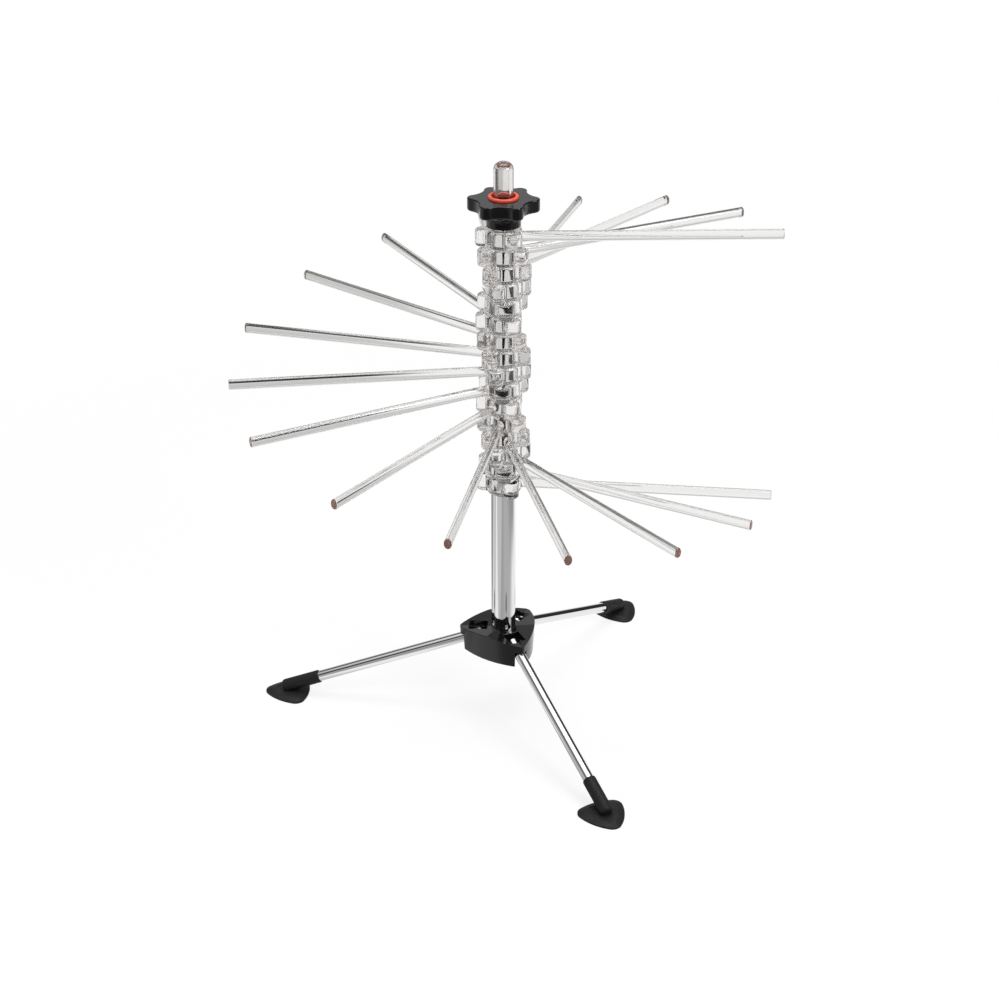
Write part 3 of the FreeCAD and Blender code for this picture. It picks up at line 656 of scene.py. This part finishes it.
def white_floor_with_painted_reflections():
    """White paint that takes a shadow, and that metal and clear plastic show with painted reflections,
    painted shade and a painted highlight on it, which the camera never sees.
    """
    material = bpy.data.materials.new("white_floor_with_painted_reflections")
    material.use_nodes = True
    tree = material.node_tree
    tree.nodes.clear()
    rays = tree.nodes.new("ShaderNodeLightPath").outputs
    place = tree.nodes.new("ShaderNodeNewGeometry").outputs["Position"]
    x, y, _ = separate(tree, place)
    # Painted reflections and painted shade: floor tones that only metal and clear plastic see, never the
    # camera
    in_metal = lay_painted_patches(tree, x, y, METAL_PAINTED_REFLECTIONS)
    # Painted highlight: a white strip that the post shows as a bright line
    along, aside = turned(tree, x, y, METAL_PAINTED_HIGHLIGHT_TURN)
    in_metal = lay_painted_patch(tree, along, aside, METAL_PAINTED_HIGHLIGHT, in_metal)
    in_glass = lay_painted_patches(tree, x, y, GLASS_PAINTED_REFLECTIONS)
    tone = choose(tree, rays["Is Glossy Ray"], 1.0, in_metal)
    tone = choose(tree, rays["Is Transmission Ray"], tone, in_glass)

    far = tree.nodes.new("ShaderNodeVectorMath")
    far.operation = "LENGTH"
    tree.links.new(place, far.inputs[0])
    share = ramp(tree, far.outputs["Value"], FLOOR_NEAR, FLOOR_FAR, FLOOR_NEAR_SHARE, FLOOR_FAR_SHARE)
    seen = math_node(tree, "MULTIPLY", rays["Is Camera Ray"], share)
    seen = math_node(tree, "MAXIMUM", seen, rays["Is Glossy Ray"])
    seen = math_node(tree, "MAXIMUM", seen, rays["Is Transmission Ray"])

    paint = tree.nodes.new("ShaderNodeBsdfDiffuse")
    paint.inputs["Color"].default_value = (0.9, 0.9, 0.9, 1)
    glow = tree.nodes.new("ShaderNodeEmission")
    tree.links.new(tone, glow.inputs["Color"])
    glow.inputs["Strength"].default_value = 1.0
    mix = tree.nodes.new("ShaderNodeMixShader")
    output = tree.nodes.new("ShaderNodeOutputMaterial")
    tree.links.new(seen, mix.inputs["Fac"])
    tree.links.new(paint.outputs["BSDF"], mix.inputs[1])
    tree.links.new(glow.outputs["Emission"], mix.inputs[2])
    tree.links.new(mix.outputs["Shader"], output.inputs["Surface"])
    return material


def add_floor():
    """Wide white floor that keeps a soft shadow, and shows painted reflections to metal and clear plastic.
    """
    bpy.ops.mesh.primitive_plane_add(size=FLOOR_SIZE)
    floor = bpy.context.object
    floor.name = "floor"
    floor.data.materials.append(white_floor_with_painted_reflections())


def room_in_metal(tree, x, y, up):
    """Dark low down, grey at the left, white overhead, with a pale panel behind."""
    left = ramp(tree, x, -0.40, -0.15, 1.0, 0.0)
    low = math_node(tree, "MULTIPLY", left, ramp(tree, up, 0.40, 0.58, ROOM_LEFT, 0.0))
    room = math_node(tree, "MAXIMUM", low, ramp(tree, up, 0.66, 0.86, ROOM_DARK, 1.0))
    panel = math_node(tree, "MULTIPLY", between(tree, x, -0.40, 0.30, 0.15),
                      ramp(tree, y, 0.3, 0.6, 0.0, ROOM_PANEL))
    return math_node(tree, "MAXIMUM", room, panel)


def room_in_glass(tree, x, y, up):
    """Pale, with a grey band, a dark horizon at the left and a dark side in front."""
    band = math_node(tree, "MULTIPLY", ramp(tree, up, 0.08, 0.16, 0.0, 1.0),
                     ramp(tree, up, 0.36, 0.48, 1.0, 0.0))
    room = choose(tree, band, ramp(tree, up, 0.0, 0.4, GLASS_LOW, GLASS_HIGH), GLASS_BAND)
    horizon = math_node(tree, "MULTIPLY", ramp(tree, x, -0.75, -0.5, 1.0, 0.0),
                        ramp(tree, up, 0.10, 0.20, 1.0, 0.0))
    room = choose(tree, horizon, room, GLASS_HORIZON)
    in_front = math_node(tree, "MULTIPLY", ramp(tree, y, -0.1, 0.3, 1.0, 0.0),
                         ramp(tree, up, 0.5, 0.7, 1.0, 0.0))
    return choose(tree, in_front, room, GLASS_FRONT)


def add_world():
    """Soft room light, white where the camera looks, and darker for metal and clear plastic."""
    world = bpy.data.worlds.new("studio")
    bpy.context.scene.world = world
    world.use_nodes = True
    tree = world.node_tree
    tree.nodes.clear()
    rays = tree.nodes.new("ShaderNodeLightPath").outputs
    place = tree.nodes.new("ShaderNodeTexCoord")
    x, y, up = separate(tree, place.outputs["Generated"])
    tone = choose(tree, rays["Is Transmission Ray"], room_in_metal(tree, x, y, up),
                  room_in_glass(tree, x, y, up))
    tone = choose(tree, rays["Is Camera Ray"], tone, 1.0)
    background = tree.nodes.new("ShaderNodeBackground")
    output = tree.nodes.new("ShaderNodeOutputWorld")
    tree.links.new(tone, background.inputs["Color"])
    tree.links.new(background.outputs["Background"], output.inputs["Surface"])


def add_softbox(name, place, width, height, watts):
    lamp = bpy.data.lights.new(name, "AREA")
    lamp.shape = "RECTANGLE"
    lamp.size = width
    lamp.size_y = height
    lamp.energy = watts
    item = bpy.data.objects.new(name, lamp)
    bpy.context.scene.collection.objects.link(item)
    item.location = place
    aim = CAMERA_TARGET - Vector(place)
    item.rotation_euler = aim.to_track_quat("-Z", "Y").to_euler()
    item.visible_camera = False
    item.visible_transmission = False
    return item


def add_camera():
    """The photograph's view: far back, a little to one side and looking down."""
    camera = bpy.data.cameras.new("camera")
    camera.sensor_fit = "VERTICAL"
    camera.sensor_height = SENSOR
    camera.lens = FOCAL_PIXELS * SENSOR / IMAGE_HEIGHT
    camera.shift_x = -PRINCIPAL_SHIFT_PIXELS / IMAGE_HEIGHT
    item = bpy.data.objects.new("camera", camera)
    bpy.context.scene.collection.objects.link(item)
    level = math.cos(CAMERA_ELEVATION)
    back = Vector((math.sin(CAMERA_AZIMUTH) * level, -math.cos(CAMERA_AZIMUTH) * level,
                   math.sin(CAMERA_ELEVATION)))
    item.location = CAMERA_TARGET + back * CAMERA_DISTANCE
    item.rotation_euler = (-back).to_track_quat("-Z", "Y").to_euler()
    bpy.context.scene.camera = item


clear = clear_plastic()
satin = metal("satin_aluminium", (0.76, 0.76, 0.765), (0.85, 0.85, 0.855), 0.04, 0.08, (1, 1, 0.01), 900)
chrome = metal("chromed_steel", (0.78, 0.78, 0.79), (0.84, 0.84, 0.85), 0.03, 0.06, (1, 1, 1), 200)
zinc = metal("zinc_steel", (0.55, 0.56, 0.57), (0.68, 0.68, 0.69), 0.25, 0.4, (1, 1, 1), 500)
paint_nodes({
    "clear_plastic": clear,
    "black_plastic": black_plastic(),
    "orange_plastic": orange_plastic(),
    "white_plastic": white_plastic(),
    "black_rubber": black_rubber(),
    "satin_aluminium": satin,
    "chromed_steel": chrome,
    "zinc_steel": zinc,
})
brown = clear_end()
make_arms(clear, brown)
make_wand(clear_wand(), brown)
make_post(satin)
make_legs(chrome)

add_floor()
add_world()
add_softbox("key", (1.5, -0.9, 1.5), 0.9, 0.9, 24)
add_softbox("fill", (-1.6, -1.0, 1.1), 0.5, 1.0, 9).visible_glossy = False
add_softbox("top", (0.0, 0.3, 2.0), 1.4, 0.7, 16)
add_camera()
bpy.context.scene.view_settings.view_transform = "Standard"
bpy.context.scene.cycles.max_bounces = LIGHT_BOUNCES
bpy.context.scene.cycles.transmission_bounces = LIGHT_BOUNCES
bpy.context.scene.cycles.glossy_bounces = LIGHT_BOUNCES
